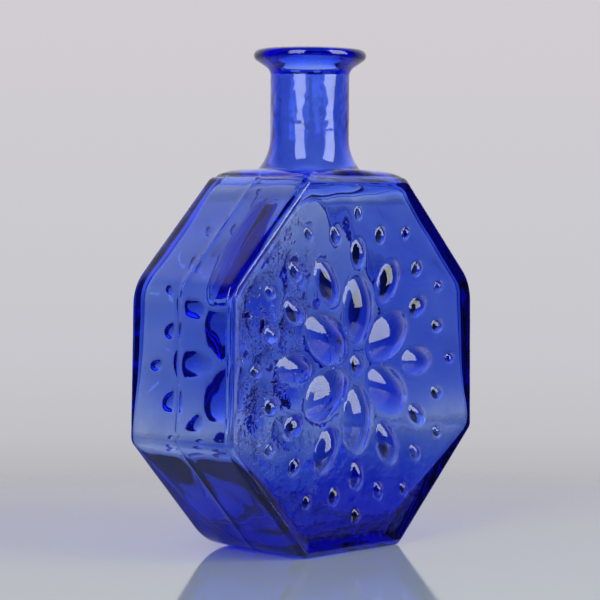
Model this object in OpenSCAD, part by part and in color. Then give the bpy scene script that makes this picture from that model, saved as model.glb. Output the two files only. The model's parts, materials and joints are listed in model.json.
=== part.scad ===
// One-piece glass bottle: an eight-sided flat body with a rosette of bosses in the sunk
// field of both broad panels, a round neck and a wide fire-polished lip. It stands on its
// base facet with the front panel facing -Y. Millimetres, origin under the middle of the base.

/* [Body] */
// Height of the eight-sided body, from the table to its top facet
body_h = 150; // [135:1:170]
// Width across the two upper side corners
body_w = 151; // [140:1:170]
// Width across the two lower side corners, where the hot glass spread a little
low_w = 153; // [140:1:172]
// Depth over the smooth borders of the two broad panels
body_d = 54; // [48:1:70]
// Height of the lower side corners
low_z = 46; // [38:1:54]
// Height of the upper side corners
high_z = 107; // [98:1:114]
// Length of the top facet, which carries the neck
top_w = 63; // [56:1:76]
// Length of the base facet
base_w = 61; // [50:1:76]

/* [Edges and panels] */
// Radius between one side facet and the next
corner_r = 4; // [2:0.5:7]
// Radius of the edge between a broad panel and the side facets
edge_r = 1.5; // [1:0.25:3]
// Width of the smooth border around each panel's field
border_w = 5; // [3:0.5:8]
// Depth of the field under its border
field_sink = 0.8; // [0.4:0.1:1.4]
// Depth of the hollow under the base
punt_depth = 1.5; // [0.5:0.25:2.5]
// Radius of the hollow's edge under the base
punt_r = 19; // [12:1:21]

/* [Glass walls] */
// Wall of the side facets at the upper side corners
side_wall = 4.5; // [3:0.25:6]
// Wall at the lower side corners, where the blown glass is thinnest
corner_wall = 1.8; // [1.4:0.1:4]
// Wall of the lower side facets where they come down to the base
foot_wall = 8; // [5:0.5:10]
// Wall of the broad panels, under the field
panel_wall = 3; // [2:0.25:5]
// Glass under the top facet
shoulder_wall = 4.5; // [3:0.25:6]
// Glass of the heavy base
base_wall = 8.5; // [6:0.5:12]
// Radius of the inside corners
inside_r = 5; // [3:0.5:7]

/* [Neck and lip] */
// Outside diameter of the neck
neck_d = 32; // [31:0.5:36]
// Bore of the neck, which takes a straight cork
bore_d = 25; // [20:0.5:26]
// Height of the neck and lip over the top facet
neck_h = 51.8; // [44:0.2:64]
// Rise of the domed shoulder from the top facet's edge to the neck
shoulder_rise = 3; // [1.5:0.1:4]
// Radius of the flare at the neck's foot
flare_r = 19; // [14:1:24]
// Height of the flare over the shoulder
flare_h = 12; // [9:0.5:14]
// Diameter of the lip
lip_d = 45.6; // [42:0.2:50]
// Radius of the lip's outer rim
rim_r = 1.9; // [1.5:0.1:2.5]
// Radius of the cove between the neck and the lip
cove_r = 5; // [3:0.5:6]
// Slope of the lip's underside, from the horizontal
lip_slope = 36; // [28:1:42]
// Radius of the rounded mouth
mouth_r = 1.8; // [1:0.1:2.5]
// Fall of the lip's crowned top from the mouth to the rim
lip_crown = 0.9; // [0.4:0.1:1.4]

/* [Rosette] */
// Height of the rosette's middle on the panels
rosette_z = 75; // [72:1:78]
// Petals in the rosette; its two outer rings have twice as many seeds
petals = 6; // [4:1:6]
// Diameter of the button in the middle
button_d = 9; // [6:0.5:10]
// Height of the button
button_h = 2; // [1:0.25:3]
// Distance of the petals' middles from the rosette's middle
petal_reach = 22; // [21.5:0.5:23]
// Length of a petal
petal_l = 28; // [20:0.5:29]
// Width of a petal
petal_w = 18; // [12:0.5:18.5]
// Height of a petal over the field
petal_h = 4; // [2.5:0.25:5]

/* [Hidden] */

glass_blue = "#2F4FC4";
round_steps = 96;
corner_steps = 4;
arc_steps = 8;
shoulder_sides = 64;
shoulder_steps = 4;
rim_end = 80;
punt_taper = 0.6;
boss_steps = 20;
boss_root = 0.3;
overlap = 0.5;

half_d = body_d / 2;
field_y = half_d - field_sink;
shoulder_z = body_h + shoulder_rise;
mouth_z = body_h + neck_h;
neck_r = neck_d / 2;
bore_r = bore_d / 2;
lip_r = lip_d / 2;

// Share of an edge's radius by which its middle lies inside the corner
soft = 1 - cos(45);

// Rings of bosses round the button: [distance, length, width, height, count, turn], where
// turn is the part of their spacing by which the ring starts past the top
boss_rings = [
    [petal_reach, petal_l, petal_w, petal_h, petals, 0],
    [38, 20, 12, 3.4, petals, 0.5],
    [44.5, 12, 8, 2.8, petals, 0],
    [53.5, 8, 6, 2.2, 2 * petals, 0.5],
    [60.5, 6, 4.5, 1.8, 2 * petals, 0]
];

// Corners of the body's outline, counter-clockwise from the base's right end: [x, z]
corners = [
    [base_w / 2, 0],
    [low_w / 2, low_z],
    [body_w / 2, high_z],
    [top_w / 2, body_h],
    [-top_w / 2, body_h],
    [-body_w / 2, high_z],
    [-low_w / 2, low_z],
    [-base_w / 2, 0]
];
sides = len(corners);

// Glass behind each side of the outline at its two ends, counted from the lower right facet
walls = [
    [foot_wall, corner_wall],
    [corner_wall, side_wall],
    [side_wall, shoulder_wall],
    [shoulder_wall, shoulder_wall],
    [shoulder_wall, side_wall],
    [side_wall, corner_wall],
    [corner_wall, foot_wall],
    [base_wall, base_wall]
];
no_walls = [for (wall = walls) [0, 0]];

// Inward normal of a polygon's side that starts at corner i
function side_normal(polygon, i) =
    let (run = polygon[(i + 1) % sides] - polygon[i])
    [-run[1], run[0]] / norm(run);

// Corner i of a polygon with its incoming side moved in by d_in and its outgoing side by d_out
function moved_corner(polygon, i, d_in, d_out) =
    let (n_in = side_normal(polygon, (i + sides - 1) % sides), n_out = side_normal(polygon, i))
    polygon[i] + [d_in * n_out[1] - d_out * n_in[1], d_out * n_in[0] - d_in * n_out[0]] / cross(n_in, n_out);

// Corners moved in by the walls on both sides of them
function inner_corners(depths) = [
    for (i = [0:sides - 1]) moved_corner(corners, i, depths[(i + sides - 1) % sides][1], depths[i][0])
];

// The outline at depth y, moved in by the walls and by inset, with round corners
function outline(depths, inset, r, y) =
    let (inner = inner_corners(depths)) [
        for (i = [0:sides - 1])
            let (
                n_in = side_normal(inner, (i + sides - 1) % sides),
                middle = moved_corner(inner, i, inset + r, inset + r),
                start = atan2(-n_in[1], -n_in[0]),
                turn = acos(n_in * side_normal(inner, i))
            )
            for (k = [0:corner_steps])
                let (a = start + turn * k / corner_steps)
                [middle[0] + r * cos(a), y, middle[1] + r * sin(a)]
    ];

// Points along an arc in a flat profile
function arc(middle, r, from, to) = [
    for (k = [0:arc_steps])
        let (a = from + (to - from) * k / arc_steps)
        middle + r * [cos(a), sin(a)]
];

// A list from its last row to its first, and an outline's rows mirrored from front to back
function reversed(rows) = [for (i = [len(rows) - 1:-1:0]) rows[i]];
function front_and_back(rows) = concat(rows, [for (row = reversed(rows)) [row[0], row[1], -row[2]]]);

// A closed skin through rings of points, each counter-clockwise seen from the first ring
module skin(rings) {
    n = len(rings[0]);
    last = len(rings) - 1;
    polyhedron(
        points = [for (ring = rings) each ring],
        faces = [
            [for (i = [n - 1:-1:0]) i],
            for (j = [0:last - 1])
                for (i = [0:n - 1])
                    [j * n + i, j * n + (i + 1) % n, (j + 1) * n + (i + 1) % n, (j + 1) * n + i],
            [for (i = [0:n - 1]) last * n + i]
        ],
        convexity = 6
    );
}

// An oval boss, highest in its middle: the cap of a ring with a round section, lying along X.
// The section gives the boss's width and the ring's own curve gives its length.
module boss(length, width, height) {
    half_w = width / 2;
    half_l = length / 2;
    belly_r = (pow(half_w, 2) + pow(height, 2)) / (2 * height);
    bow_r = (pow(half_l, 2) + pow(height, 2)) / (2 * height);
    tip = sqrt(2 * bow_r * belly_r - pow(belly_r, 2));
    intersection() {
        translate([0, 0, height - belly_r])
            rotate([0, 90, 0])
                rotate_extrude($fn = boss_steps)
                    intersection() {
                        translate([belly_r - bow_r, 0])
                            circle(r = bow_r, $fn = 4 * boss_steps);
                        translate([0, -tip])
                            square([belly_r + overlap, 2 * tip]);
                    }
        translate([-length, -width, -boss_root])
            cube([2 * length, 2 * width, height + 2 * boss_root]);
    }
}

// The button and its rings of bosses, standing on the plane z = 0
module rosette() {
    boss(button_d, button_d, button_h);
    for (ring = boss_rings)
        for (k = [0:ring[4] - 1])
            rotate([0, 0, 90 + 360 * (k + ring[5]) / ring[4]])
                translate([ring[0], 0, 0])
                    boss(ring[1], ring[2], ring[3]);
}

// Both broad panels' reliefs, each standing on its sunk field
module rosettes() {
    for (turn = [0, 180])
        rotate([0, 0, turn])
            translate([0, -field_y, rosette_z])
                rotate([90, 0, 0])
                    rosette();
}

// Outside of the body, lofted from the front panel to the back one with round edges,
// less the sunk field of each panel. Each row is [inset, corner radius, y].
module body_outside() {
    rows = front_and_back([
        [edge_r, corner_r / 2, -half_d],
        [edge_r * soft, corner_r * 0.8, -half_d + edge_r * soft],
        [0, corner_r, -half_d + edge_r]
    ]);
    difference() {
        skin([for (row = rows) outline(no_walls, row[0], row[1], row[2])]);
        for (turn = [0, 180])
            rotate([0, 0, turn])
                translate([0, -field_y, 0])
                    rotate([90, 0, 0])
                        linear_extrude(height = field_sink + overlap)
                            polygon([for (p = outline(no_walls, border_w, corner_r / 2, 0)) [p[0], p[2]]]);
    }
}

// The space inside the body, with soft edges where panel and side wall meet
module body_inside() {
    depth = field_y - panel_wall;
    rows = front_and_back([
        [inside_r, inside_r / 2, -depth],
        [inside_r * soft, inside_r * 0.8, -depth + inside_r * soft],
        [0, inside_r, -depth + inside_r]
    ]);
    skin([for (row = rows) outline(walls, row[0], row[1], row[2])]);
}

// One ring of the shoulder: a share of the way from the top facet's outline to a circle
function shoulder_ring(share, r, z) = [
    for (i = [0:shoulder_sides - 1])
        let (
            a = -360 * i / shoulder_sides,
            reach_x = top_w / 2 - corner_r / 2,
            reach_y = half_d - edge_r,
            facet = 1 / max(abs(cos(a)) / reach_x, abs(sin(a)) / reach_y),
            reach = facet * (1 - share) + r * share
        )
        [reach * cos(a), reach * sin(a), z]
];

// The domed shoulder that rises from the top facet and runs in under the neck's flare
module shoulder() {
    skin([
        shoulder_ring(1, neck_r, body_h - 2 * overlap),
        for (k = [0:shoulder_steps])
            let (share = k / shoulder_steps)
            shoulder_ring(share, neck_r, body_h + shoulder_rise * (1 - pow(1 - share, 2)))
    ]);
}

// Neck and lip, turned round the bottle's axis
module neck_outside() {
    neck_foot_z = shoulder_z + flare_h;
    flare_end = asin(flare_h / flare_r);
    flare = arc([neck_r + flare_r, neck_foot_z], flare_r, 180 + flare_end, 180);
    rim_x = lip_r - rim_r;
    cove_end_x = neck_r + cove_r * (1 - sin(lip_slope));
    rim_start_x = rim_x + rim_r * sin(lip_slope);
    rim_z = mouth_z - rim_r - lip_crown;
    rim_start_z = rim_z - rim_r * cos(lip_slope);
    cove_end_z = rim_start_z - (rim_start_x - cove_end_x) * tan(lip_slope);
    cove_z = cove_end_z - cove_r * cos(lip_slope);
    cove = arc([neck_r + cove_r, cove_z], cove_r, 180, 90 + lip_slope);
    rim = arc([rim_x, rim_z], rim_r, lip_slope - 90, rim_end);
    mouth = arc([bore_r + mouth_r, mouth_z - mouth_r], mouth_r, 90, 180);
    rotate_extrude($fn = round_steps)
        polygon(concat(
            [[0, body_h - overlap], [flare[0][0], body_h - overlap]],
            flare,
            cove,
            rim,
            mouth,
            [[bore_r, mouth_z - 2 * mouth_r], [0, mouth_z - 2 * mouth_r]]
        ));
}

// The bore and the flare by which it opens into the body
module neck_inside() {
    neck_foot_z = shoulder_z + flare_h;
    inner_flare_r = flare_r + neck_r - bore_r;
    inner_end = asin(flare_h / inner_flare_r);
    flare = arc([bore_r + inner_flare_r, neck_foot_z], inner_flare_r, 180 + inner_end, 180);
    translate([0, 0, neck_foot_z - overlap])
        cylinder(r = bore_r, h = neck_h, $fn = round_steps);
    rotate_extrude($fn = round_steps)
        polygon(concat(
            [[0, body_h - shoulder_wall - overlap], [flare[0][0], body_h - shoulder_wall - overlap]],
            flare,
            [[0, neck_foot_z]]
        ));
}

module bottle() {
    color(glass_blue)
        difference() {
            union() {
                body_outside();
                rosettes();
                shoulder();
                neck_outside();
            }
            body_inside();
            neck_inside();
            translate([0, 0, -overlap])
                cylinder(r1 = punt_r, r2 = punt_taper * punt_r, h = overlap + punt_depth, $fn = round_steps);
        }
}

bottle();
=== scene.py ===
import json
import math

import bmesh
import bpy
import numpy as np
from mathutils import Matrix, Vector
from mathutils.geometry import delaunay_2d_cdt

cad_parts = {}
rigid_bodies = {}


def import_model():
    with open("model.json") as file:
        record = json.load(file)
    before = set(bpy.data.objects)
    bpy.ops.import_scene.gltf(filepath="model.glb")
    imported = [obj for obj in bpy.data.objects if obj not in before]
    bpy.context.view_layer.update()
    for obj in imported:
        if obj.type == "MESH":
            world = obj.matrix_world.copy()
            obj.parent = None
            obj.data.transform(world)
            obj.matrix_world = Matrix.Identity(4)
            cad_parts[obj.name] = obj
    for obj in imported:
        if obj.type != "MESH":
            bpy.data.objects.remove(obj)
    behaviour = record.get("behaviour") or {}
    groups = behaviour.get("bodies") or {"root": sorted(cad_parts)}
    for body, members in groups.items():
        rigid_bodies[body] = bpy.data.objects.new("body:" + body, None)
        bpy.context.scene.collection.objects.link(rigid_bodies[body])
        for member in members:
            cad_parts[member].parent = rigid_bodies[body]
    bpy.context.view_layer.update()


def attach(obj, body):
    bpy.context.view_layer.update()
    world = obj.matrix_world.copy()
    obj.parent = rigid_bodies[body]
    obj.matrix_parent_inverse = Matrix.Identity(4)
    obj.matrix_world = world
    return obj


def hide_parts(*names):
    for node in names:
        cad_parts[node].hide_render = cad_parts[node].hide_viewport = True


for left_over in list(bpy.data.objects):
    bpy.data.objects.remove(left_over)
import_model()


# ---- Camera -----------------------------------------------------------------
# A long lens a little above the middle of the bottle, turned round to its left, so
# that the front panel and the left side facets both show.
MM = 0.001
VIEW_AZIMUTH = -49.1
VIEW_ELEVATION = 2.45
VIEW_DISTANCE = 980 * MM
VIEW_TARGET = Vector((-4.66, 0.3, 100.2)) * MM
VIEW_ROLL = 0.46
LENS = 145.4
SENSOR = 36.0


def sight_line(azimuth, elevation):
    a, e = math.radians(azimuth), math.radians(elevation)
    return Vector((math.sin(a) * math.cos(e), -math.cos(a) * math.cos(e), math.sin(e)))


camera_data = bpy.data.cameras.new("camera")
camera_data.lens = LENS
camera_data.sensor_width = SENSOR
camera_data.clip_end = 20
camera = bpy.data.objects.new("camera", camera_data)
bpy.context.scene.collection.objects.link(camera)
back = sight_line(VIEW_AZIMUTH, VIEW_ELEVATION)
turned = back.to_track_quat("Z", "Y").to_matrix().to_4x4()
camera.matrix_world = (
    Matrix.Translation(VIEW_TARGET + back * VIEW_DISTANCE)
    @ turned
    @ Matrix.Rotation(math.radians(VIEW_ROLL), 4, "Z")
)
bpy.context.scene.camera = camera
bpy.context.scene.view_settings.view_transform = "Standard"

# Light runs a long way inside the glass walls, from one side to the other and back
bpy.context.scene.cycles.max_bounces = 32
bpy.context.scene.cycles.glossy_bounces = 32
bpy.context.scene.cycles.transmission_bounces = 32


# ---- Bottle: one piece of mould-blown glass -----------------------------------
# Body, shoulder, neck and lip are one skin of cobalt-blue glass outside, and one
# inside, joined at the mouth. A two-part iron mould gives the flat facets, the
# seam and the panels' relief; the lip is turned and fire-polished by hand.

# Sizes are in millimetres, as in the part's source
BODY_H = 150
BODY_W = 151
LOW_W = 153
BODY_D = 54
LOW_Z = 46
HIGH_Z = 107
TOP_W = 63

# The base stands a little to the left, and the right lower corner sank a little
BASE_LEFT = -31.5
BASE_RIGHT = 28.8
RIGHT_LOW_Z = 45.2

# The edge round each panel, its smooth border and the slope down to the sunk field
EDGE_R = 2.5
BORDER_W = 1.5
SLOPE_W = 6
FIELD_SINK = 0.8

# The hollow under the base, and the glass over it
PUNT_DEPTH = 1.5
PUNT_R = 19
PUNT_RUN = 7.6
BASE_WALL = 8.5

# The shoulder's rise, and the neck with its bore and its flared foot
SHOULDER_RISE = 3
NECK_H = 51.8
NECK_R = 16
BORE_R = 12.5
FLARE_R = 19
FLARE_H = 12
FOOT_FILLET = 3

# The lip: its rim, the cove under it, the slope between them and the mouth
LIP_R = 22.8
LIP_CROWN = 0.5
RIM_R = 2.5
COVE_R = 4.5
LIP_SLOPE = 34
MOUTH_R = 3.4

# The mould's seam: its height, the share of it that is left on the right side, and
# half the stretch over which it fades
SEAM_H = 0.25
SEAM_RIGHT = 0.15
SEAM_FADE = 8

# The rosette's height, and its rings of oval bosses: distance from the middle,
# length, width, height, how many and by what part of their spacing they are turned
ROSETTE_Z = 75
BOSS_RINGS = (
    (0, 9, 9, 2, 1, 0),
    (22, 28, 18, 4, 6, 0),
    (38, 20, 12, 3.4, 6, 0.5),
    (44.5, 12, 8, 2.8, 6, 0),
    (53.5, 8, 6, 2.2, 12, 0.5),
    (60.5, 6, 4.5, 1.8, 12, 0),
)

HALF_D = BODY_D / 2
FIELD_Y = HALF_D - FIELD_SINK
SIDE_STEP = 2.6
CORNER_STEPS = 8

# The glass didn't fill every corner of the mould: [front radius, back radius] of each
CORNER_RADII = ((4, 6), (4, 4), (18, 8), (4, 4), (4, 6), (8, 18), (4, 5), (6, 30))
CORNERS = (
    (BASE_RIGHT, 0),
    (LOW_W / 2, RIGHT_LOW_Z),
    (BODY_W / 2, HIGH_Z),
    (TOP_W / 2, BODY_H),
    (-TOP_W / 2, BODY_H),
    (-BODY_W / 2, HIGH_Z),
    (-LOW_W / 2, LOW_Z),
    (BASE_LEFT, 0),
)
SIDES = len(CORNERS)
TOP_SIDE = 3
side_points = [
    max(2, round(math.dist(CORNERS[i], CORNERS[(i + 1) % SIDES]) / SIDE_STEP)) for i in range(SIDES)
]


def side_normal(i):
    """Points into the body, square to side i."""
    run = np.subtract(CORNERS[(i + 1) % SIDES], CORNERS[i])
    return np.array((-run[1], run[0])) / np.linalg.norm(run)


def moved_corner(i, inset):
    """Corner i of the outline that lies the inset further in."""
    both = np.array((side_normal(i - 1), side_normal(i)))
    return np.array(CORNERS[i]) + np.linalg.solve(both, (inset, inset))


def outline(inset, y):
    """The body's outline at depth y, moved in, with round corners and with points
    along each side."""
    arcs = []
    for i in range(SIDES):
        front, rear = CORNER_RADII[i]
        r = front + (rear - front) * (y / HALF_D + 1) / 2 - inset * 0.4
        n_in = side_normal(i - 1)
        middle = moved_corner(i, inset + r)
        start = math.atan2(-n_in[1], -n_in[0])
        turn = math.acos(float(n_in @ side_normal(i)))
        angles = [start + turn * k / CORNER_STEPS for k in range(CORNER_STEPS + 1)]
        arcs.append([middle + r * np.array((math.cos(a), math.sin(a))) for a in angles])
    points = []
    for i in range(SIDES):
        points += arcs[i]
        last, first = arcs[i][-1], arcs[(i + 1) % SIDES][0]
        steps = side_points[i]
        points += [last + (first - last) * k / steps for k in range(1, steps)]
    return points


def arc(middle, r, start, end, steps):
    """Points on a round stretch, from one angle in degrees to another."""
    angles = [math.radians(start + (end - start) * k / steps) for k in range(steps + 1)]
    return [(middle[0] + r * math.cos(a), middle[1] + r * math.sin(a)) for a in angles]


def smooth_step(x):
    """From 0 to 1, level at both ends."""
    x = np.clip(x, 0, 1)
    return x * x * (3 - 2 * x)


verts = []
faces = []
marks = {"panel": [], "inner": [], "field": []}


def add_points(points, panel=0.0, inner=0.0, field=0.0):
    """Adds points with their marks: which panel they belong to, which skin, and
    how far the panel's relief reaches them."""
    first = len(verts)
    verts.extend(points)
    marks["panel"] += [panel] * len(points)
    marks["inner"] += [inner] * len(points)
    marks["field"] += list(field) if np.ndim(field) else [field] * len(points)
    return list(range(first, len(verts)))


def bridge(low, high):
    """Quads between two closed rows of as many points."""
    for i in range(len(low)):
        j = (i + 1) % len(low)
        faces.append((low[i], low[j], high[j], high[i]))


# Side band: rows of the outline from the front border to the back one, with a soft
# chamfer on the edges, and with the mould's seam as a low ridge in the middle. A row
# is [inset, y, height of the ridge].
EDGE_ARC = ((1, 0), (0.83, 0.03), (0.69, 0.14), (0.14, 0.69), (0.03, 0.83), (0, 1))
FLAT_STEPS = (2, 4.5, 7.5, 11, 14.5, 18, 21)
SEAM_SECTION = ((-1.1, 0), (-0.45, 0.55), (-0.15, 1))
front_rows = [(EDGE_R * inset, -HALF_D + EDGE_R * down, 0) for inset, down in EDGE_ARC]
front_rows += [(0, -HALF_D + EDGE_R + step, 0) for step in FLAT_STEPS]
front_rows += [(0, y, lift * SEAM_H) for y, lift in SEAM_SECTION]
band_rows = front_rows + [(inset, -y, lift) for inset, y, lift in reversed(front_rows)]

bands = []
for inset, y, lift in band_rows:
    crest, ring = (np.array(outline(inset + drop, y)) for drop in (0, SEAM_H - lift))
    to_right = smooth_step((ring[:, :1] + SEAM_FADE) / (2 * SEAM_FADE))
    ring = crest + (ring - crest) * (1 - (1 - SEAM_RIGHT) * to_right)
    hollow = [PUNT_DEPTH * smooth_step((PUNT_R - math.hypot(x, y)) / PUNT_RUN) for x, _ in ring]
    bands.append(add_points([(x, y, z if z > 0.5 else z + up) for (x, z), up in zip(ring, hollow)]))
ring_n = len(bands[0])
top_start = sum(side_points[:TOP_SIDE]) - TOP_SIDE + (TOP_SIDE + 1) * (CORNER_STEPS + 1) - 1
top_count = side_points[TOP_SIDE]
EDGE_ROWS = len(EDGE_ARC) - 1
last_row = len(bands) - 1
for row in range(last_row):
    in_top = EDGE_ROWS <= row < last_row - EDGE_ROWS
    for i in range(ring_n):
        if in_top and top_start <= i < top_start + top_count:
            continue
        j = (i + 1) % ring_n
        faces.append((bands[row][i], bands[row][j], bands[row + 1][j], bands[row + 1][i]))

# Shoulder: the open patch of the top facet is closed by rings that turn from its
# outline into the foot of the neck
top = range(top_start, top_start + top_count + 1)
first_open, last_open = EDGE_ROWS, last_row - EDGE_ROWS
loop = [bands[first_open][i] for i in top]
loop += [bands[row][top_start + top_count] for row in range(first_open + 1, last_open)]
loop += [bands[last_open][i] for i in reversed(top)]
loop += [bands[row][top_start] for row in range(last_open - 1, first_open, -1)]
loop_xyz = np.array([verts[i] for i in loop])
loop_angle = np.arctan2(loop_xyz[:, 1], loop_xyz[:, 0])

shoulder_z = BODY_H + SHOULDER_RISE
flare_end = math.degrees(math.asin(FLARE_H / FLARE_R))
foot = (
    NECK_R + FLARE_R * (1 - math.cos(math.radians(flare_end))),
    shoulder_z + FOOT_FILLET * (1 - math.sin(math.radians(90 - flare_end))),
)
flare_z = foot[1] + FLARE_H
to_middle = (math.cos(math.radians(flare_end)), math.sin(math.radians(flare_end)))
fillet = (foot[0] + FOOT_FILLET * to_middle[0], foot[1] + FOOT_FILLET * to_middle[1])
root_r = fillet[0]

SHOULDER_STEPS = 7
SHOULDER_EASE = 1.3
low = loop
for k in range(1, SHOULDER_STEPS + 1):
    share = k / SHOULDER_STEPS
    z = BODY_H + SHOULDER_RISE * (1 - (1 - share) ** 2)
    circle = np.stack((np.cos(loop_angle), np.sin(loop_angle)), axis=1) * root_r
    blend = share**SHOULDER_EASE
    xy = loop_xyz[:, :2] * (1 - blend) + circle * blend
    high = add_points([(x, y, z) for x, y in xy])
    bridge(low, high)
    low = high

# The neck is drawn out a little eight-sided halfway up
LOBES = 8
LOBE_H = 0.2
LOBE_Z = 173
LOBE_REACH = 17
LOBE_TURN = math.radians(-152.5)

# Neck, lip and bore: one profile turned round the axis, from the foot of the neck
# over the lip and down into the bore
NECK_STEPS = 16
RIM_END = 78
CREST = (2.2, 0.12)
mouth_z = BODY_H + NECK_H
rim_x = LIP_R - RIM_R
rim_z = mouth_z - RIM_R - LIP_CROWN
slope = math.radians(LIP_SLOPE)
rim_start = (rim_x + RIM_R * math.sin(slope), rim_z - RIM_R * math.cos(slope))
cove_end_x = NECK_R + COVE_R * (1 - math.sin(slope))
cove_end_z = rim_start[1] - (rim_start[0] - cove_end_x) * math.tan(slope)
cove_z = cove_end_z - COVE_R * math.cos(slope)
profile = arc(fillet, FOOT_FILLET, 270, 180 + flare_end, 6)[1:]
profile += arc((NECK_R + FLARE_R, flare_z), FLARE_R, 180 + flare_end, 180, 12)[1:]
profile += [(NECK_R, flare_z + (cove_z - flare_z) * k / NECK_STEPS) for k in range(1, NECK_STEPS)]
profile += arc((NECK_R + COVE_R, cove_z), COVE_R, 180, 90 + LIP_SLOPE, 8)
profile += arc((rim_x, rim_z), RIM_R, LIP_SLOPE - 90, RIM_END, 14)
profile += [(rim_x - CREST[0], mouth_z - CREST[1])]
profile += arc((BORE_R + MOUTH_R, mouth_z - MOUTH_R), MOUTH_R, 90, 180, 8)
for r, z in profile:
    swell = LOBE_H * smooth_step(1 - abs(z - LOBE_Z) / LOBE_REACH)
    if r <= BORE_R + 1:
        swell = 0
    radii = [r + swell * math.cos(LOBES * (a - LOBE_TURN)) for a in loop_angle]
    high = add_points([(d * math.cos(a), d * math.sin(a), z) for d, a in zip(radii, loop_angle)])
    bridge(low, high)
    low = high

# Inner skin: rows of rounded rectangles from the bore down to the heavy base. The
# blown glass is thick at the base and thin at the lower side corners.
# [height, wall of the side facets, wall of the panels in the middle and at the sides,
# radius of the inside corners]
WALL_ROWS = (
    (8, 7.6, 6.6, 5.4, 5.0),
    (14, 7.0, 5.6, 4.6, 4.0),
    (20, 6.4, 4.7, 3.7, 3.0),
    (27, 5.5, 3.9, 2.9, 2.4),
    (33, 4.6, 3.2, 2.3, 2.0),
    (37, 3.6, 2.8, 1.9, 1.9),
    (41, 2.2, 2.4, 1.5, 1.8),
    (45, 1.3, 2.1, 1.1, 1.6),
    (49, 1.3, 2.0, 1.0, 1.6),
    (56, 2.1, 2.5, 1.2, 1.8),
    (66, 3.1, 3.0, 1.8, 3.0),
    (80, 3.5, 3.2, 2.1, 4.5),
    (107, 3.6, 2.6, 2.0, 6.0),
    (125, 3.7, 2.0, 1.6, 6.5),
    (140, 3.5, 1.3, 1.2, 5.5),
)
SMOOTH_POINTS = 25
fine_z = np.arange(0, 160, 0.5)
kernel = np.hanning(SMOOTH_POINTS) / np.hanning(SMOOTH_POINTS).sum()


def smoothed(line):
    """A line given at every half millimetre of height, without its kinks."""
    return np.convolve(np.pad(line, SMOOTH_POINTS // 2, mode="edge"), kernel, mode="valid")


def wall_column(k):
    """Column k of the walls' table at every half millimetre of height."""
    return smoothed(np.interp(fine_z, [row[0] for row in WALL_ROWS], [row[k] for row in WALL_ROWS]))


outer_half = np.interp(fine_z, *zip(*[(z, x) for x, z in CORNERS[:4]]))
lean = np.gradient(outer_half, fine_z)
inner_half = smoothed(outer_half - wall_column(1) * np.sqrt(1 + lean**2))
mid_wall = wall_column(2)
edge_wall = wall_column(3)
corner_radius = wall_column(4)


def half_sizes(z):
    """Half the width and half the depth of the hollow's sides at height z."""
    return float(np.interp(z, fine_z, inner_half)), FIELD_Y - float(np.interp(z, fine_z, edge_wall))


# Each row is [half width, half depth, height, how round it is]
BORE_TOP = mouth_z - MOUTH_R
BORE_FOOT = 166
BORE_STEPS = 14
bore_step = (BORE_TOP - BORE_FOOT) / BORE_STEPS
rows = [(BORE_R, BORE_R, BORE_TOP - bore_step * k, 1) for k in range(1, BORE_STEPS + 1)]
rows += [
    (12.7, 12.7, 163, 1),
    (13.4, 13.3, 160, 1),
    (14.5, 14.3, 157, 1),
    (15.9, 15.6, 154.5, 0.97),
    (17.9, 17.2, 152.2, 0.85),
    (20.8, 19.3, 150.7, 0.62),
    (24.4, 21.4, 149.6, 0.36),
    (28.2, 22.9, 148.4, 0.16),
    (31.6, 23.7, 146.6, 0.05),
    (34.4, 24.0, 144.1, 0),
]
HOLLOW_TOP = 141
Z_STEP = 2.9
FLOOR_R = 6.5
FLOOR_PULL = 0.7
low_z = BASE_WALL + FLOOR_R
steps = round((HOLLOW_TOP - low_z) / Z_STEP)
for k in range(steps + 1):
    z = HOLLOW_TOP + (low_z - HOLLOW_TOP) * k / steps
    rows.append((*half_sizes(z), z, 0))
for a in (15, 30, 45, 60, 75, 90):
    z = low_z - FLOOR_R * math.sin(math.radians(a))
    pull = FLOOR_R * (1 - math.cos(math.radians(a)))
    half_x, half_y = half_sizes(z)
    rows.append((half_x - pull * FLOOR_PULL, half_y - pull, z, 0))

# Points along each long side, short side and corner of the rows
N_LONG = 52
N_SHORT = 30
N_ARC = 8


def rounded_rectangle(half_x, half_y, radii):
    """Points anti-clockwise from the end of the front right corner, as many on each
    part of every rectangle."""
    radii = [min(r, half_x * 0.98, half_y * 0.98) for r in radii]
    signs = ((1, 1), (-1, 1), (-1, -1), (1, -1))
    middles = [(sx * (half_x - r), sy * (half_y - r)) for (sx, sy), r in zip(signs, radii)]
    arcs = [arc(middles[k], radii[k], 90 * k, 90 * k + 90, N_ARC) for k in range(4)]
    points = []
    for k, corner in enumerate(arcs):
        along = N_SHORT if k % 2 == 0 else N_LONG
        (x0, y0), (x1, y1) = arcs[k - 1][-1], corner[0]
        points += [(x0 + (x1 - x0) * t / along, y0 + (y1 - y0) * t / along) for t in range(along)]
        points += corner[:-1]
    return points


inner_n = 2 * (N_LONG + N_SHORT + 2 * N_ARC)
short_share = 0.5 * N_SHORT / inner_n
inner_angles = np.array([2 * math.pi * (k / inner_n - short_share) for k in range(inner_n)])

# Share of the inside corners' radius: back right, back left, front left, front right
CORNER_SHARES = (0.8, 1.0, 0.35, 1.0)
LEAST_RADIUS = 1.5

# How far the blown hollow stands off to the left: [height, distance]
HANG_ROWS = ((8, 2.4), (20, 1.9), (34, 0.2), (46, 0.3), (110, 0.6), (BODY_H, 0))

# By how much its left wall leans, from the middle to the front and to the back
LEFT_LEAN = 0.5

# A fold in the upper left facet, beside its front edge: the wall thickens towards
# the back and falls off again. [height, where it starts, where it is thickest]
FOLD_ROWS = ((106, -26, -16), (120, -24, -11), (134, -19, -9.5))
FOLD_DEPTH = 6.5
FOLD_FOOT = 102
FOLD_TOP = 140


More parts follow.
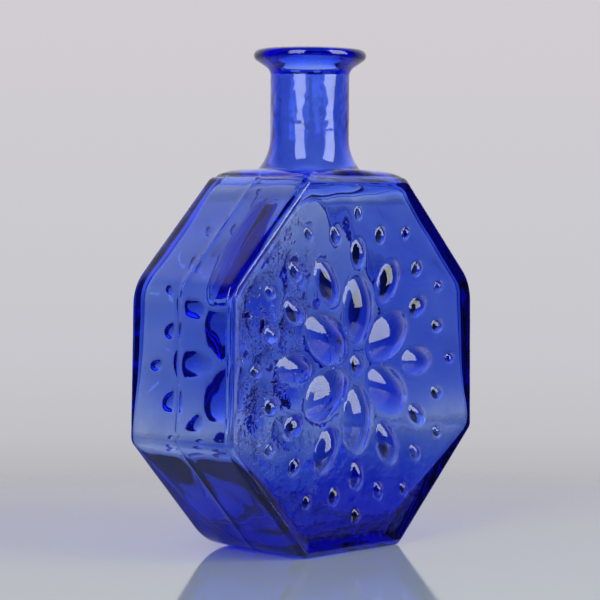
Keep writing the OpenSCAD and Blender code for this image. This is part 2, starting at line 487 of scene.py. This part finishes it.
def fold(x, y, z, half_x):
    """How far the fold pushes the inner skin in at a point of it."""
    heights, starts, crests = zip(*FOLD_ROWS)
    start = np.interp(z, heights, starts)
    along = (y - start) / (np.interp(z, heights, crests) - start)
    rise = np.clip(along, 0, 1) * smooth_step((1.25 - along) / 0.25)
    tall = smooth_step((z - FOLD_FOOT) / 5) * smooth_step((FOLD_TOP - z) / 7)
    on_left = smooth_step((-x / half_x - 0.85) / 0.1)
    return FOLD_DEPTH * rise * tall * on_left


def inner_ring(half_x, half_y, z, share):
    """One row of the inner skin, uneven as blown glass is."""
    r = float(np.interp(z, fine_z, corner_radius))
    radii = [max(LEAST_RADIUS, r * part) for part in CORNER_SHARES]
    box = np.array(rounded_rectangle(half_x, half_y, radii))
    box[:, 0] += fold(box[:, 0], box[:, 1], z, half_x)
    box[:, 0] -= LEFT_LEAN * smooth_step(-box[:, 0] / half_x) * box[:, 1] / half_y
    to_middle = smooth_step(1.15 - np.abs(box[:, 0]) / half_x) * smooth_step(np.abs(box[:, 1]) / half_y)
    thicker = float(np.interp(z, fine_z, mid_wall - edge_wall))
    box[:, 1] -= np.sign(box[:, 1]) * thicker * to_middle
    circle = np.stack((half_x * np.cos(inner_angles), half_y * np.sin(inner_angles)), axis=1)
    xy = box * (1 - share) + circle * share
    on_panel = (1 - share) * np.clip((np.abs(xy[:, 1]) - half_y + 3) / 3, 0, 1) * np.sign(xy[:, 1])
    hang = float(np.interp(z, *zip(*HANG_ROWS)))
    ring = add_points([(x - hang, y, z) for x, y in xy], inner=1.0, field=1.0)
    for i, side in zip(ring, on_panel):
        marks["panel"][i] = float(side)
    return ring


inner_rings = [inner_ring(*row) for row in rows]
for low_ring, high_ring in zip(inner_rings, inner_rings[1:]):
    bridge(low_ring, high_ring)
floor_ring = inner_rings[-1]
low_ring = floor_ring
FLOOR_SHARES = (0.8, 0.55, 0.3, 0.1)
for share in FLOOR_SHARES:
    points = [(verts[i][0] * share, verts[i][1] * share, BASE_WALL) for i in floor_ring]
    high_ring = add_points(points, inner=1.0)
    bridge(low_ring, high_ring)
    low_ring = high_ring
pole = add_points([(0, 0, BASE_WALL)], inner=1.0)[0]
for i in range(inner_n):
    faces.append((low_ring[i], low_ring[(i + 1) % inner_n], pole))


def zip_rings(low_ring, high_ring):
    """Triangles between two rings of unlike counts, walked round by angle."""

    def by_angle(ring):
        angle = [math.atan2(verts[i][1], verts[i][0]) % (2 * math.pi) for i in ring]
        order = sorted(range(len(ring)), key=lambda k: angle[k])
        return [ring[k] for k in order], [angle[k] for k in order]

    a_ring, a_angle = by_angle(low_ring)
    b_ring, b_angle = by_angle(high_ring)
    i = j = 0
    while i < len(a_ring) or j < len(b_ring):
        next_a = a_angle[i + 1] if i + 1 < len(a_ring) else a_angle[(i + 1) % len(a_ring)] + 2 * math.pi
        next_b = b_angle[j + 1] if j + 1 < len(b_ring) else b_angle[(j + 1) % len(b_ring)] + 2 * math.pi
        a, b = a_ring[i % len(a_ring)], b_ring[j % len(b_ring)]
        if j >= len(b_ring) or (i < len(a_ring) and next_a <= next_b):
            faces.append((a, a_ring[(i + 1) % len(a_ring)], b))
            i += 1
        else:
            faces.append((a, b_ring[(j + 1) % len(b_ring)], b))
            j += 1


# The mouth's last ring meets the inner skin's first one, which has more points
zip_rings(low, inner_rings[0])


# Panels: the border, its slope and the sunk field, meshed closely round each boss
def depth_in(points):
    """How far points of the panel's plane lie inside the outline."""
    depth = np.full(len(points), 1e9)
    for i in range(SIDES):
        depth = np.minimum(depth, (points - np.array(CORNERS[i])) @ side_normal(i))
    return depth


# Rings of points over a boss, as shares of its size, and beyond its foot
BIG_BOSS_SHARES = (1.16, 1.0, 0.93, 0.8, 0.6, 0.35)
SMALL_BOSS_SHARES = (1.22, 1.0, 0.85, 0.55)
BOSS_STEP = 3.4


def boss_points():
    """Rings of points round and over every boss, and each boss's place."""
    points, places = [], []
    for distance, length, width, height, count, turn in BOSS_RINGS:
        for k in range(count):
            a = math.radians(90 - 360 * (k + turn) / count)
            along = np.array((math.cos(a), math.sin(a)))
            across = np.array((-along[1], along[0]))
            middle = along * distance + np.array((0, ROSETTE_Z))
            places.append((middle, along, across, length / 2, width / 2))
            around = 12 + 2 * round(length / BOSS_STEP)
            shares = BIG_BOSS_SHARES if length > 12 else SMALL_BOSS_SHARES
            for share in shares:
                for m in range(around):
                    t = 2 * math.pi * m / around
                    points.append(
                        middle
                        + along * share * length / 2 * math.cos(t)
                        + across * share * width / 2 * math.sin(t)
                    )
            points.append(middle)
    return points, places


# The field between the bosses has a grid of even triangles, down to its slope
FIELD_STEP = 1.45
FIELD_INSET = 7.4
BORDER_INSETS = (3.4, 4.9, 6.3)
BOSS_GAP = 0.9
relief_points, boss_places = boss_points()
grid = []
row_step = FIELD_STEP * math.sqrt(3) / 2
for row in range(int(BODY_H / row_step)):
    for column in range(int(LOW_W / FIELD_STEP)):
        grid.append(((column + 0.5 * (row % 2)) * FIELD_STEP - LOW_W / 2, (row + 0.5) * row_step))
grid = np.array(grid)
clear = depth_in(grid) > FIELD_INSET
for middle, along, across, half_l, half_w in boss_places:
    off = grid - middle
    p = (off @ along) / (half_l * BIG_BOSS_SHARES[0] + BOSS_GAP)
    q = (off @ across) / (half_w * BIG_BOSS_SHARES[0] + BOSS_GAP)
    clear &= p**2 + q**2 > 1
field_points = relief_points + list(grid[clear])

for side, rim_ring in ((-1, bands[0]), (1, bands[-1])):
    rim = [(verts[i][0], verts[i][2]) for i in rim_ring]
    border_points = [p for inset in BORDER_INSETS for p in outline(inset, side * HALF_D)]
    flat = [Vector((float(x), float(z))) for x, z in rim + border_points + field_points]
    loop_edges = [(i, (i + 1) % len(rim)) for i in range(len(rim))]
    out_points, _, out_faces, came_from, _, _ = delaunay_2d_cdt(flat, loop_edges, [], 1, 1e-5)
    xz = np.array([(p.x, p.y) for p in out_points])
    slope_share = smooth_step((depth_in(xz) - BORDER_W) / SLOPE_W)
    y = side * (HALF_D - FIELD_SINK * slope_share)
    index = add_points([(x, d, z) for (x, z), d in zip(xz, y)], panel=float(side), field=slope_share)
    for new, old in enumerate(came_from):
        on_rim = [k for k in old if k < len(rim)]
        if on_rim:
            index[new] = rim_ring[on_rim[0]]
    for face in out_faces:
        corners = [index[k] for k in face]
        faces.append(tuple(corners if side < 0 else reversed(corners)))

blank = bpy.data.meshes.new("bottle_glass")
blank.from_pydata([Vector(v) * MM for v in verts], [], faces)
for name, values in marks.items():
    blank.attributes.new(name, "FLOAT", "POINT").data.foreach_set("value", np.array(values, "f"))
blank.validate()
blank.update()
bottle = bpy.data.objects.new("bottle_glass", blank)
bpy.context.scene.collection.objects.link(bottle)

mesh = bmesh.new()
mesh.from_mesh(blank)
loose = [v for v in mesh.verts if not v.link_faces]
bmesh.ops.delete(mesh, geom=loose, context="VERTS")
bmesh.ops.recalc_face_normals(mesh, faces=mesh.faces)
mesh.to_mesh(blank)
mesh.free()


# The relief and the blown glass's waves are laid on by one node tree
def add(tree, kind, inputs=None, **settings):
    """Adds a node with its settings; each input is given a value or a socket to link."""
    node = tree.nodes.new(kind)
    for name, value in settings.items():
        setattr(node, name, value)
    for name, value in (inputs or {}).items():
        if isinstance(value, bpy.types.NodeSocket):
            tree.links.new(value, node.inputs[name])
        else:
            node.inputs[name].default_value = value
    return node


def work_out(tree, kind, steps, sockets):
    """Adds a node of one kind for each step, [name, operation, inputs]; an input is
    a number or the name of an earlier result."""
    for name, operation, *values in steps:
        inputs = {k: sockets[v] if isinstance(v, str) else v for k, v in enumerate(values)}
        sockets[name] = add(tree, kind, inputs, operation=operation).outputs[0]


def linear(code):
    """A colour written as sRGB hex, as linear values."""
    parts = [int(code[i : i + 2], 16) / 255 for i in (1, 3, 5)]
    return tuple(c / 12.92 if c <= 0.04045 else ((c + 0.055) / 1.055) ** 2.4 for c in parts)


# A ring of bosses, worked out at each point of the panel: the angle is folded into
# the nearest boss's share of the circle, and its dome falls off as a paraboloid. Past
# its rim the shape goes on down, so that the fillet at its foot can be blended.
ring_tree = bpy.data.node_groups.new("ring of bosses", "GeometryNodeTree")
RING_INPUTS = ("Across", "Up", "Distance", "Length", "Width", "Height", "Count", "Turn")
for name in RING_INPUTS:
    ring_tree.interface.new_socket(name, in_out="INPUT", socket_type="NodeSocketFloat")
ring_tree.interface.new_socket("Relief", in_out="OUTPUT", socket_type="NodeSocketFloat")
ring_in = add(ring_tree, "NodeGroupInput")
RIM_FALL = 2.5
RING_STEPS = (
    ("angle", "ARCTAN2", "Up", "Across"),
    ("spacing", "DIVIDE", 2 * math.pi, "Count"),
    ("half spacing", "DIVIDE", "spacing", 2.0),
    ("minus half", "MULTIPLY", "half spacing", -1.0),
    ("turned", "MULTIPLY_ADD", "spacing", "Turn", math.pi / 2),
    ("past first", "SUBTRACT", "angle", "turned"),
    ("past nearest", "WRAP", "past first", "half spacing", "minus half"),
    ("x2", "MULTIPLY", "Across", "Across"),
    ("r2", "MULTIPLY_ADD", "Up", "Up", "x2"),
    ("r", "SQRT", "r2"),
    ("cos", "COSINE", "past nearest"),
    ("sin", "SINE", "past nearest"),
    ("out", "MULTIPLY", "r", "cos"),
    ("along", "SUBTRACT", "out", "Distance"),
    ("across", "MULTIPLY", "r", "sin"),
    ("half length", "MULTIPLY", "Length", 0.5),
    ("half width", "MULTIPLY", "Width", 0.5),
    ("p", "DIVIDE", "along", "half length"),
    ("q", "DIVIDE", "across", "half width"),
    ("p2", "MULTIPLY", "p", "p"),
    ("s2", "MULTIPLY_ADD", "q", "q", "p2"),
    ("inside", "SUBTRACT", 1.0, "s2"),
    ("dome", "MAXIMUM", "inside", 0.0),
    ("past rim", "MINIMUM", "inside", 0.0),
    ("shape", "MULTIPLY_ADD", "past rim", RIM_FALL, "dome"),
    ("relief", "MULTIPLY", "shape", "Height"),
)
ring_sockets = {name: ring_in.outputs[name] for name in RING_INPUTS}
work_out(ring_tree, "ShaderNodeMath", RING_STEPS, ring_sockets)
add(ring_tree, "NodeGroupOutput", {"Relief": ring_sockets["relief"]})

# The outer waves only go inwards, so that the skin stays inside the mould. Both skins'
# waves start off the table and grow calmer up the neck: [stretch of each, in mm]
OUTER_LEVEL = 0.95
FOOT_STRETCH = 4
NECK_STRETCH = 12.5
glass_tree = bpy.data.node_groups.new("relief and waves", "GeometryNodeTree")
glass_tree.is_modifier = True
TREE_INPUTS = (
    ("Rosette height", ROSETTE_Z * MM),
    ("Boss fillet", 0.9 * MM),
    ("Inner fillet", 3.0 * MM),
    ("Inner follow", 0.3),
    ("Outer wave", 0.16 * MM),
    ("Outer wave size", 10 * MM),
    ("Inner wave", 0.42 * MM),
    ("Inner wave size", 20 * MM),
    ("Neck foot", 150 * MM),
    ("Neck calm", 0.8),
)
glass_tree.interface.new_socket("Geometry", in_out="INPUT", socket_type="NodeSocketGeometry")
for name, value in TREE_INPUTS:
    socket = glass_tree.interface.new_socket(name, in_out="INPUT", socket_type="NodeSocketFloat")
    socket.default_value = value
glass_tree.interface.new_socket("Material", in_out="INPUT", socket_type="NodeSocketMaterial")
glass_tree.interface.new_socket("Geometry", in_out="OUTPUT", socket_type="NodeSocketGeometry")
tree_in = add(glass_tree, "NodeGroupInput")
place = add(glass_tree, "GeometryNodeInputPosition").outputs[0]
normal = add(glass_tree, "GeometryNodeInputNormal").outputs[0]
apart = add(glass_tree, "ShaderNodeSeparateXYZ", {0: place})
s = {name: tree_in.outputs[name] for name, _ in TREE_INPUTS}
s["x"], s["z"] = apart.outputs[0], apart.outputs[2]
for name in ("panel", "inner", "field"):
    mark = add(glass_tree, "GeometryNodeInputNamedAttribute", {"Name": name}, data_type="FLOAT")
    s[name] = mark.outputs[0]
work_out(glass_tree, "ShaderNodeMath", [("up", "SUBTRACT", "z", "Rosette height")], s)
for k, (distance, length, width, height, count, turn) in enumerate(BOSS_RINGS):
    ring = add(
        glass_tree,
        "GeometryNodeGroup",
        {
            "Across": s["x"],
            "Up": s["up"],
            "Distance": distance * MM,
            "Length": length * MM,
            "Width": width * MM,
            "Height": height * MM,
            "Count": count,
            "Turn": turn,
        },
        node_tree=ring_tree,
    )
    s[f"ring {k}"] = ring.outputs[0]
for size, key, detail in (
    (s["Outer wave size"], "outer noise", 1.0),
    (s["Inner wave size"], "inner noise", 1.5),
):
    finer = add(glass_tree, "ShaderNodeMath", {0: 1.0, 1: size}, operation="DIVIDE").outputs[0]
    noise = add(glass_tree, "ShaderNodeTexNoise", {"Vector": place, "Scale": finer, "Detail": detail})
    s[key] = noise.outputs[0]
work_out(
    glass_tree,
    "ShaderNodeMath",
    (
        ("rings 01", "MAXIMUM", "ring 0", "ring 1"),
        ("big rings", "MAXIMUM", "rings 01", "ring 2"),
        ("rings 34", "MAXIMUM", "ring 3", "ring 4"),
        ("small rings", "MAXIMUM", "rings 34", "ring 5"),
        ("all rings", "MAXIMUM", "big rings", "small rings"),
        ("outer relief", "SMOOTH_MAX", "all rings", 0.0, "Boss fillet"),
        ("soft relief", "SMOOTH_MAX", "big rings", 0.0, "Inner fillet"),
        ("inner relief", "MULTIPLY", "soft relief", "Inner follow"),
        ("change", "SUBTRACT", "inner relief", "outer relief"),
        ("relief", "MULTIPLY_ADD", "change", "inner", "outer relief"),
        ("masked", "MULTIPLY", "relief", "field"),
        ("push", "MULTIPLY", "masked", "panel"),
        ("up the neck", "SUBTRACT", "z", "Neck foot"),
        ("neck share", "MULTIPLY", "up the neck", 1 / (NECK_STRETCH * MM)),
        ("neck", "MAXIMUM", "neck share", 0.0),
        ("neck only", "MINIMUM", "neck", 1.0),
        ("loss", "SUBTRACT", "Neck calm", 1.0),
        ("calm", "MULTIPLY_ADD", "neck only", "loss", 1.0),
        ("off foot", "MULTIPLY", "z", 1 / (FOOT_STRETCH * MM)),
        ("off the table", "MINIMUM", "off foot", 1.0),
        ("level", "SUBTRACT", "outer noise", OUTER_LEVEL),
        ("outer push", "MULTIPLY", "level", "Outer wave"),
        ("centred", "SUBTRACT", "inner noise", 0.5),
        ("doubled", "MULTIPLY", "centred", 4.0),
        ("inner push", "MULTIPLY", "doubled", "Inner wave"),
        ("difference", "SUBTRACT", "inner push", "outer push"),
        ("mixed", "MULTIPLY_ADD", "difference", "inner", "outer push"),
        ("mixed calm", "MULTIPLY", "mixed", "calm"),
        ("wave", "MULTIPLY", "mixed calm", "off the table"),
    ),
    s,
)
waves = add(glass_tree, "ShaderNodeVectorMath", {0: normal, "Scale": s["wave"]}, operation="SCALE")
pushed = add(glass_tree, "ShaderNodeCombineXYZ", {"Y": s["push"]})
moves = {0: waves.outputs[0], 1: pushed.outputs[0]}
offset = add(glass_tree, "ShaderNodeVectorMath", moves, operation="ADD")
moved = add(
    glass_tree,
    "GeometryNodeSetPosition",
    {"Geometry": tree_in.outputs["Geometry"], "Offset": offset.outputs[0]},
)
marked = add(
    glass_tree,
    "GeometryNodeStoreNamedAttribute",
    {"Geometry": moved.outputs[0], "Name": "boss", "Value": s["masked"]},
    data_type="FLOAT",
    domain="POINT",
)
whole = add(glass_tree, "GeometryNodeRealizeInstances", {"Geometry": marked.outputs[0]})
painted = add(
    glass_tree,
    "GeometryNodeSetMaterial",
    {"Geometry": whole.outputs[0], "Material": tree_in.outputs["Material"]},
)
add(glass_tree, "NodeGroupOutput", {"Geometry": painted.outputs[0]})


# Cobalt-blue glass, blown into an iron mould: the light that goes through it loses
# its red first and hardly any blue. The colour is in the depth of the glass, so thick
# parts are dark. The left of the front field is crackled with veins and specks where
# the glass met cold iron, and painted shade darkens those veins, specks and broad
# dents to dark violet. Its foot is peeled like an orange, and the neck has a
# fire-polished ripple.
glass = bpy.data.materials.new("mould_blown_cobalt_glass")
glass.use_nodes = True
glass.node_tree.nodes.clear()
nt = glass.node_tree
object_place = add(nt, "ShaderNodeTexCoord").outputs["Object"]
m = {}
for name in ("boss", "field", "inner"):
    m[name] = add(nt, "ShaderNodeAttribute", attribute_name=name).outputs["Fac"]
place = add(nt, "ShaderNodeSeparateXYZ", {0: object_place})
m["x"], m["y"], m["z"] = place.outputs
# The crackle reaches furthest to the right at this height, and less above and below
CRACKLE_Z = 110
CRACKLE_SLANT = 0.6

# The skin's bumps: how deep the crackle is, the peel above and what the foot adds to
# it, the neck's ripple, and the height in mm at which a boss is clear of the crackle
CRACKLE_SINK = 0.8
PEEL_ABOVE = 0.25
PEEL_BELOW = 0.8
RIPPLE_RISE = 1.8
BOSS_CLEAR = 0.125
# [name, size in mm, detail]: soft peel, veins, specks, broad dents that also carry painted shade,
# patches of them, neck ripple
SKIN_NOISES = (
    ("peel", 3.4, 2.0),
    ("vein", 2.4, 4.0),
    ("speck", 0.9, 1.0),
    ("broad_dent_and_shade_noise", 5.0, 2.0),
    ("patch", 8.0, 2.0),
    ("ripple", 5.0, 1.2),
)
for name, size, detail in SKIN_NOISES:
    inputs = {"Vector": object_place, "Scale": 1 / (size * MM), "Detail": detail}
    m[name] = add(nt, "ShaderNodeTexNoise", inputs).outputs[0]
work_out(
    nt,
    "ShaderNodeMath",
    (
        ("off middle", "SUBTRACT", "z", CRACKLE_Z * MM),
        ("off either way", "ABSOLUTE", "off middle"),
        ("left", "MULTIPLY_ADD", "off either way", CRACKLE_SLANT, "x"),
        ("off vein", "SUBTRACT", "vein", 0.5),
        ("vein side", "ABSOLUTE", "off vein"),
    ),
    m,
)
# [name, source, from, to]: soft steps between two values, places in metres
SKIN_STEPS = (
    ("veins", "vein side", 0.026, 0.008),
    ("specks", "speck", 0.58, 0.62),
    ("broad_dents_and_shade", "broad_dent_and_shade_noise", 0.6, 0.64),
    ("in patch", "patch", 0.45, 0.51),
    ("left part", "left", -0.014, -0.03),
    ("front part", "y", 0.0, -0.01),
    ("low part", "z", 0.085, 0.035),
    ("on neck", "z", 0.16, 0.17),
    ("under lip", "z", 0.192, 0.186),
)
for name, source, start, end in SKIN_STEPS:
    m[name] = add(
        nt,
        "ShaderNodeMapRange",
        {"Value": m[source], "From Min": start, "From Max": end},
        interpolation_type="SMOOTHSTEP",
    ).outputs[0]
work_out(
    nt,
    "ShaderNodeMath",
    (
        ("boss share", "MULTIPLY", "boss", 1 / (BOSS_CLEAR * MM)),
        ("on boss", "MINIMUM", "boss share", 1.0),
        ("off boss", "SUBTRACT", 1.0, "on boss"),
        ("outer", "SUBTRACT", 1.0, "inner"),
        ("outer field", "MULTIPLY", "field", "outer"),
        ("flat field", "MULTIPLY", "off boss", "outer field"),
        ("left front", "MULTIPLY", "left part", "front part"),
        ("open front", "MULTIPLY", "left front", "flat field"),
        ("patches", "MULTIPLY", "in patch", "open front"),
        ("fine marks", "MAXIMUM", "veins", "specks"),
        ("patch marks", "MULTIPLY", "fine marks", "patches"),
        ("wide marks", "MULTIPLY", "broad_dents_and_shade", "open front"),
        ("marks", "MAXIMUM", "patch marks", "wide marks"),
        ("marks depth", "MULTIPLY", "marks", -CRACKLE_SINK),
        ("level peel", "SUBTRACT", "peel", 0.5),
        ("peel share", "MULTIPLY_ADD", "low part", PEEL_BELOW, PEEL_ABOVE),
        ("peeled", "MULTIPLY_ADD", "level peel", "peel share", "marks depth"),
        ("field skin", "MULTIPLY", "peeled", "flat field"),
        ("level ripple", "SUBTRACT", "ripple", 0.5),
        ("neck part", "MULTIPLY", "on neck", "under lip"),
        ("neck ripple", "MULTIPLY", "level ripple", "neck part"),
        ("both", "MULTIPLY_ADD", "neck ripple", RIPPLE_RISE, "field skin"),
    ),
    m,
)
bump = add(nt, "ShaderNodeBump", {"Height": m["both"], "Distance": 0.25 * MM, "Strength": 1.0})
# Painted shade: where the crackle's veins, specks and broad dents lie, the glass's colour is turned from
# white towards dark violet
crackle_painted_shade = add(
    nt,
    "ShaderNodeMix",
    {0: m["marks"], 6: (*linear("#ffffff"), 1), 7: (*linear("#3f307c"), 1)},
    data_type="RGBA",
)
skin = add(
    nt,
    "ShaderNodeBsdfPrincipled",
    {
        "Base Color": crackle_painted_shade.outputs[2],
        "Roughness": 0.015,
        "IOR": 1.5,
        "Transmission Weight": 1.0,
        "Normal": bump.outputs[0],
    },
)
depth = add(nt, "ShaderNodeVolumeAbsorption", {"Color": (*linear("#469bfa"), 1), "Density": 410.0})
# A lamp's light goes straight through the skin, so the shadow is blue and not black
clear = add(nt, "ShaderNodeBsdfTransparent", {"Color": (*linear("#fafafa"), 1)})
lamp_ray = add(nt, "ShaderNodeLightPath").outputs["Is Shadow Ray"]
either = add(nt, "ShaderNodeMixShader", {0: lamp_ray, 1: skin.outputs[0], 2: clear.outputs[0]})
add(nt, "ShaderNodeOutputMaterial", {"Surface": either.outputs[0], "Volume": depth.outputs[0]})

modifier = bottle.modifiers.new("relief and waves", "NODES")
modifier.node_group = glass_tree
for item in glass_tree.interface.items_tree:
    if item.in_out == "INPUT" and item.socket_type == "NodeSocketMaterial":
        modifier[item.identifier] = glass
    elif item.in_out == "INPUT" and item.socket_type == "NodeSocketFloat":
        modifier[item.identifier] = item.default_value
bpy.context.view_layer.update()
made = bpy.data.meshes.new_from_object(bottle.evaluated_get(bpy.context.evaluated_depsgraph_get()))
bottle.modifiers.clear()
bottle.data = made
made.name = "bottle_glass"
made.shade_smooth()
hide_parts("bottle")
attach(bottle, "root")


# ---- Table ------------------------------------------------------------------------
# A pale board with a clear lacquer, sprayed and wiped, so that it mirrors the bottle's
# foot softly and unevenly. It is round, and its edge fades into the wall.
TABLE_R = 305
TABLE_FADE = 70
TABLE_Z = -0.05
floor_mesh = bpy.data.meshes.new("table")
shape = bmesh.new()
bmesh.ops.create_circle(shape, cap_ends=True, segments=96, radius=TABLE_R * MM)
shape.to_mesh(floor_mesh)
shape.free()
floor = bpy.data.objects.new("table", floor_mesh)
floor.location.z = TABLE_Z * MM
bpy.context.scene.collection.objects.link(floor)

# Lacquered board: a matt grey-blue ground under a glossy coat, which mirrors strongly
# at this low angle. Wiping marks of 14 mm change how sharp the mirror is.
top_mat = bpy.data.materials.new("lacquered_table_top")
top_mat.use_nodes = True
top_mat.node_tree.nodes.clear()
nt = top_mat.node_tree
object_place = add(nt, "ShaderNodeTexCoord").outputs["Object"]
reach = add(nt, "ShaderNodeVectorMath", {0: object_place}, operation="LENGTH").outputs["Value"]
fade = add(
    nt,
    "ShaderNodeMapRange",
    {"Value": reach, "From Min": (TABLE_R - TABLE_FADE) * MM, "From Max": TABLE_R * MM},
    interpolation_type="SMOOTHSTEP",
)
WIPE_SIZE = 14
blotch = add(
    nt,
    "ShaderNodeTexNoise",
    {"Vector": object_place, "Scale": 1 / (WIPE_SIZE * MM), "Detail": 4.0},
)
wiped = add(
    nt,
    "ShaderNodeMapRange",
    {"Value": blotch.outputs[0], "From Min": 0.35, "From Max": 0.65, "To Min": 0.045, "To Max": 0.085},
)
top_skin = add(
    nt,
    "ShaderNodeBsdfPrincipled",
    {
        "Base Color": (*linear("#8f97a8"), 1),
        "Roughness": 0.3,
        "Specular IOR Level": 0.0,
        "Coat Weight": 0.95,
        "Coat Roughness": wiped.outputs[0],
        "Coat IOR": 1.6,
    },
)
gone = add(nt, "ShaderNodeBsdfTransparent")
shown = add(nt, "ShaderNodeMixShader", {0: fade.outputs[0], 1: top_skin.outputs[0], 2: gone.outputs[0]})
add(nt, "ShaderNodeOutputMaterial", {"Surface": shown.outputs[0]})
floor_mesh.materials.append(top_mat)


# ---- Wall and room -----------------------------------------------------------------
# A pale painted wall stands behind the bottle, lighter towards its top. The rest of the
# room is dark, which gives the glass its dark edges, and a soft sky fills the shadows.
# Wall tones from below the table's height up: [rise, colour]
WALL_TONES = (
    (-0.116, "#b7b6bb"),
    (-0.098, "#c2c1c5"),
    (-0.068, "#c8c7cd"),
    (0.0, "#cccbd0"),
    (0.09, "#d3cdd2"),
    (0.3, "#f2f0f2"),
    (0.5, "#ffffff"),
)
RISE_FROM, RISE_TO = -0.2, 0.5
WALL_SIDE = -sight_line(VIEW_AZIMUTH, 0)
# Cosines of the angle off the wall's middle, between which the dark room gives way
ROOM_AT, WALL_AT = 0.1, 0.75
ROOM_TONE = 0.05
SKY_STRENGTH = 0.42
world = bpy.data.worlds.new("studio")
bpy.context.scene.world = world
world.use_nodes = True
world.node_tree.nodes.clear()
nt = world.node_tree
rays = add(nt, "ShaderNodeLightPath")
heading = add(nt, "ShaderNodeTexCoord").outputs["Generated"]
rise = add(nt, "ShaderNodeSeparateXYZ", {0: heading}).outputs[2]
share = add(nt, "ShaderNodeMapRange", {"Value": rise, "From Min": RISE_FROM, "From Max": RISE_TO})
wall = add(nt, "ShaderNodeValToRGB", {0: share.outputs[0]})
stops = wall.color_ramp.elements
while len(stops) < len(WALL_TONES):
    stops.new(0.5)
for stop, (at_rise, tone) in zip(stops, WALL_TONES):
    stop.position = (at_rise - RISE_FROM) / (RISE_TO - RISE_FROM)
    stop.color = (*linear(tone), 1)
facing = add(nt, "ShaderNodeVectorMath", {0: heading, 1: WALL_SIDE}, operation="DOT_PRODUCT")
level = add(
    nt,
    "ShaderNodeMapRange",
    {
        "Value": facing.outputs["Value"],
        "From Min": ROOM_AT,
        "From Max": WALL_AT,
        "To Min": ROOM_TONE,
        "To Max": 1.0,
    },
    interpolation_type="SMOOTHSTEP",
)
room = add(nt, "ShaderNodeBackground", {"Color": wall.outputs[0], "Strength": level.outputs[0]})
seen = add(nt, "ShaderNodeBackground", {"Color": wall.outputs[0], "Strength": 1.0})
sky = add(nt, "ShaderNodeBackground", {"Color": (*linear("#e2e3e6"), 1), "Strength": SKY_STRENGTH})
for kind, shade in (("Is Camera Ray", seen), ("Is Glossy Ray", room), ("Is Transmission Ray", room)):
    sky = add(nt, "ShaderNodeMixShader", {0: rays.outputs[kind], 1: sky.outputs[0], 2: shade.outputs[0]})
add(nt, "ShaderNodeOutputWorld", {"Surface": sky.outputs[0]})


# ---- Soft boxes ---------------------------------------------------------------------
# Two tall cloth boxes with a lamp in each, on stands to the left and the right, give
# the two strips on the neck and the white cap on each boss.
# [name, azimuth, distance, foot's height, width, height, power in watts]
SOFT_BOXES = (
    ("left_soft_box", -78, 760, 125, 460, 1025, 9.1),
    ("right_soft_box", 14, 760, 125, 500, 1025, 10.8),
)
for name, azimuth, distance, foot_z, width, tall, power in SOFT_BOXES:
    lamp = bpy.data.lights.new(name, "AREA")
    lamp.shape = "RECTANGLE"
    lamp.size = width * MM
    lamp.size_y = tall * MM
    lamp.energy = power
    lamp.color = linear("#f8ffe8")
    lamp_object = bpy.data.objects.new(name, lamp)
    outward = sight_line(azimuth, 0)
    lamp_object.location = (outward * distance + Vector((0, 0, foot_z + tall / 2))) * MM
    lamp_object.visible_camera = False
    lamp_object.rotation_euler = outward.to_track_quat("Z", "Y").to_euler()
    bpy.context.scene.collection.objects.link(lamp_object)
